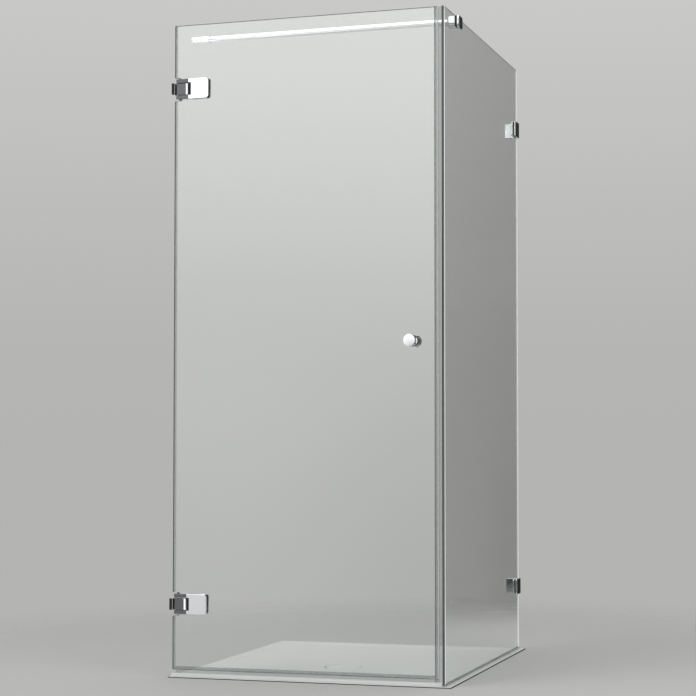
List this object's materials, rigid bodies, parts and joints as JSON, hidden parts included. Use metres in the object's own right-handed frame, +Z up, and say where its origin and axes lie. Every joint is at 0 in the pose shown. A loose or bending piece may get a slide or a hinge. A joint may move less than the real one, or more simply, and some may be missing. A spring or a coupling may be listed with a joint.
{
  "type": "corner shower enclosure",
  "caption": "Corner shower enclosure: hinged clear glass door and fixed glass side panel on a flat white tray, with chrome hinges, wall clamps, knob and stabiliser bar.",
  "frame": {"origin": "centre of the tray's underside", "axes": "+X along the door away from the left wall, +Y into the depth towards the back wall, +Z up"},
  "size_m": [0.9, 0.9136, 2.045],
  "materials": {
    "tray": "white cast tray, satin gloss",
    "cover": "white moulded plastic",
    "glass": "clear toughened glass",
    "chrome": "polished",
    "seal": "clear flexible plastic",
    "gasket": "dark matt rubber",
    "steel": "stainless steel",
    "nylon": "white nylon"
  },
  "bodies": {
    "frame": {"shower_tray": "tray", "waste_flange": "steel", "threshold_strip": "seal", "side_panel_glass": "glass", "side_bottom_seal": "seal", "side_wall_seal": "seal", "wall_clamp_bracket_lower": "chrome", "wall_clamp_bracket_upper": "chrome", "wall_clamp_cheek_lower": "chrome", "wall_clamp_cheek_upper": "chrome", "wall_clamp_inner_gasket_lower": "gasket", "wall_clamp_inner_gasket_upper": "gasket", "wall_clamp_outer_gasket_lower": "gasket", "wall_clamp_outer_gasket_upper": "gasket", "wall_clamp_glass_screw_lower": "steel", "wall_clamp_glass_screw_upper": "steel", "wall_clamp_wall_screw_lower": "steel", "wall_clamp_wall_screw_upper": "steel", "hinge_wall_bracket_lower": "chrome", "hinge_wall_bracket_upper": "chrome", "hinge_wall_screw_lower_1": "steel", "hinge_wall_screw_lower_2": "steel", "hinge_wall_screw_upper_1": "steel", "hinge_wall_screw_upper_2": "steel", "hinge_bush_lower": "nylon", "hinge_bush_upper": "nylon", "stabiliser_bar": "chrome", "bar_wall_holder": "chrome", "bar_sleeve": "chrome", "bar_clamp_block": "chrome", "bar_clamp_cheek": "chrome", "bar_clamp_gasket": "gasket", "bar_clamp_screw": "steel", "bar_grub_screw": "steel"},
    "door": {"door_glass": "glass", "closing_seal": "seal", "drip_seal": "seal", "hinge_side_seal_lower": "seal", "hinge_side_seal_middle": "seal", "hinge_side_seal_upper": "seal", "hinge_pin_lower": "steel", "hinge_pin_upper": "steel", "hinge_outer_plate_lower": "chrome", "hinge_outer_plate_upper": "chrome", "hinge_inner_plate_lower": "chrome", "hinge_inner_plate_upper": "chrome", "hinge_outer_gasket_lower": "gasket", "hinge_outer_gasket_upper": "gasket", "hinge_inner_gasket_lower": "gasket", "hinge_inner_gasket_upper": "gasket", "hinge_clamp_screw_lower_1": "steel", "hinge_clamp_screw_lower_2": "steel", "hinge_clamp_screw_upper_1": "steel", "hinge_clamp_screw_upper_2": "steel", "knob_outer": "chrome", "knob_inner": "chrome", "knob_stud": "steel", "knob_washer_outer": "seal", "knob_washer_inner": "seal"},
    "cover": {"drain_cover": "cover"}
  },
  "joints": [
    {"name": "door_swing", "type": "hinge", "parent": "frame", "child": "door", "pos_m": [-0.43, -0.429, 0.25], "axis": [0, 0, -1], "range_deg": [0, 88]},
    {"name": "cover_lift", "type": "slide", "parent": "frame", "child": "cover", "axis": [0, 0, 1], "range_m": [0, 0.04]}
  ]
}
